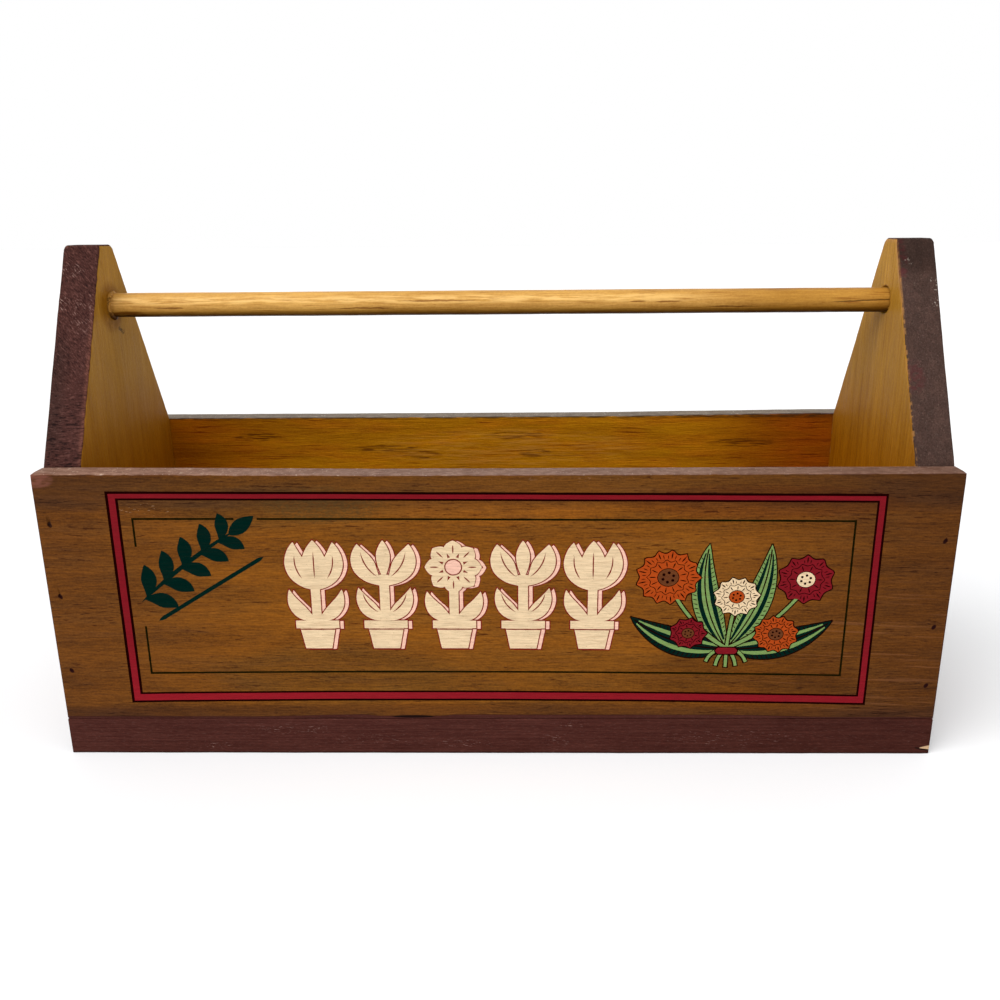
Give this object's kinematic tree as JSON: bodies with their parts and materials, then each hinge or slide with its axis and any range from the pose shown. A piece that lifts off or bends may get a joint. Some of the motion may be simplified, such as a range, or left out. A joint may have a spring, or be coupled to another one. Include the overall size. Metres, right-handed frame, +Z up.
{
  "type": "garden seed organizer box",
  "caption": "Open-topped wooden tote of nailed boards with tapered end boards, a round dowel handle set in blind sockets and a printed border on its front.",
  "frame": {"origin": "on the resting face, under the middle of the bottom board, at the bottom centre of the whole box", "axes": "+X along the length, from the left end to the right end as seen from the front; +Y from the printed front to the back; +Z up, from the bottom board to the handle"},
  "size_m": [0.445, 0.15, 0.255],
  "materials": {
    "stained_pine": "brown stained softwood, satin varnish, maroon painted edges",
    "golden_pine": "golden stained softwood, satin varnish, maroon painted edges",
    "maroon_edge_paint": "dark maroon stain-paint on softwood, worn satin",
    "dowel_wood": "clear varnished honey-coloured dowel",
    "dark_brad_steel": "darkened steel, dull",
    "nail_steel": "dull bare steel",
    "border_ink": "thin screen-printed ink film, satin"
  },
  "bodies": {
    "root": {"bottom_board": "maroon_edge_paint", "front_board": "stained_pine", "back_board": "stained_pine", "left_end": "golden_pine", "right_end": "golden_pine", "handle_dowel": "dowel_wood", "front_left_brads": "dark_brad_steel", "front_right_brads": "dark_brad_steel", "back_left_brads": "dark_brad_steel", "back_right_brads": "dark_brad_steel", "bottom_left_nails": "nail_steel", "bottom_right_nails": "nail_steel", "bottom_front_nails": "nail_steel", "bottom_back_nails": "nail_steel"}
  },
  "joints": []
}
